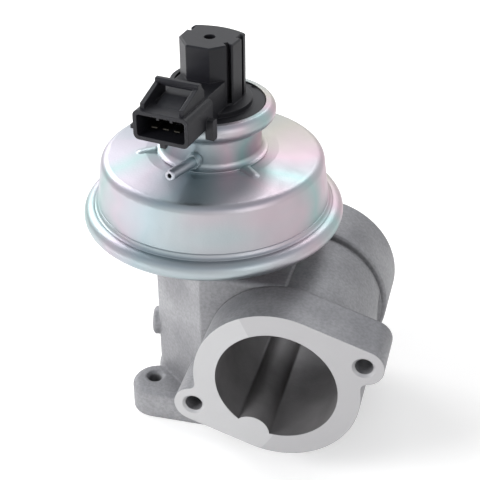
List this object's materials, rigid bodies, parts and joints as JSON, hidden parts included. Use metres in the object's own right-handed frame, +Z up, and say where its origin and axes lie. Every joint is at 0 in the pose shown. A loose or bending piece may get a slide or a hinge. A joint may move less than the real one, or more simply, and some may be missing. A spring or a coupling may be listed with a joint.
{
  "type": "exhaust gas recirculation valve",
  "caption": "Vacuum operated exhaust gas recirculation valve on a cast air duct, with a round diaphragm can, a position sensor and a side connector.",
  "frame": {"origin": "centre of the duct bore at the machined front flange face", "axes": "-Y out of the front flange face along the duct, +Z up along the valve and can axis, +X away from the valve"},
  "size_m": [0.1202, 0.0963, 0.1496],
  "materials": {
    "cast_alloy": "fine grained sand-cast aluminium, machined on the flange face",
    "seat_steel": "turned stainless steel",
    "valve_steel": "ground heat-resisting steel",
    "bush_bronze": "sintered bronze",
    "seal_rubber": "black moulded rubber",
    "plated_steel": "satin zinc plate with a pale iridescent passivation",
    "gasket_sheet": "dark pressed fibre and rubber sheet",
    "screw_steel": "bright zinc plated steel",
    "diaphragm_rubber": "fabric reinforced black rubber",
    "plate_steel": "pressed plain steel",
    "spring_steel": "drawn spring wire",
    "guide_plastic": "natural acetal plastic",
    "black_plastic": "fine matt black moulded plastic",
    "pin_metal": "tinned contact metal",
    "card_resin": "dark green printed card",
    "wiper_metal": "thin sprung contact metal"
  },
  "bodies": {
    "housing": {"duct_casting": "cast_alloy", "valve_housing": "cast_alloy", "valve_seat": "seat_steel", "stem_bush": "bush_bronze", "stem_seal": "seal_rubber", "seal_cap": "plated_steel", "can_gasket": "gasket_sheet", "can_screws": "screw_steel", "lower_can": "plated_steel", "diaphragm": "diaphragm_rubber", "return_spring": "spring_steel", "upper_can": "plated_steel", "sensor_cup": "plated_steel", "vacuum_nipple": "plated_steel", "nipple_collar": "plated_steel", "sensor_o_ring": "seal_rubber", "sensor_base": "guide_plastic", "sensor_body": "black_plastic", "terminal_pins": "pin_metal", "resistor_card": "card_resin", "plunger_spring": "spring_steel"},
    "valve": {"poppet_head": "valve_steel", "valve_stem": "valve_steel", "diaphragm_lower_plate": "plate_steel", "diaphragm_upper_plate": "plate_steel", "stem_nut": "screw_steel"},
    "plunger": {"sensor_plunger": "guide_plastic", "wiper": "wiper_metal"}
  },
  "joints": [
    {"name": "valve_lift", "type": "slide", "parent": "housing", "child": "valve", "axis": [0, 0, 1], "range_m": [0, 0.006], "stiffness_N_per_m": 6000, "springref_m": -0.008, "deforming": ["diaphragm", "return_spring"]},
    {"name": "plunger_slide", "type": "slide", "parent": "housing", "child": "plunger", "axis": [0, 0, 1], "range_m": [0, 0.006], "stiffness_N_per_m": 300, "springref_m": -0.006, "deforming": ["plunger_spring"]}
  ],
  "couplings": [
    {"joint": "plunger_slide", "follows": "valve_lift", "ratio": 1}
  ]
}
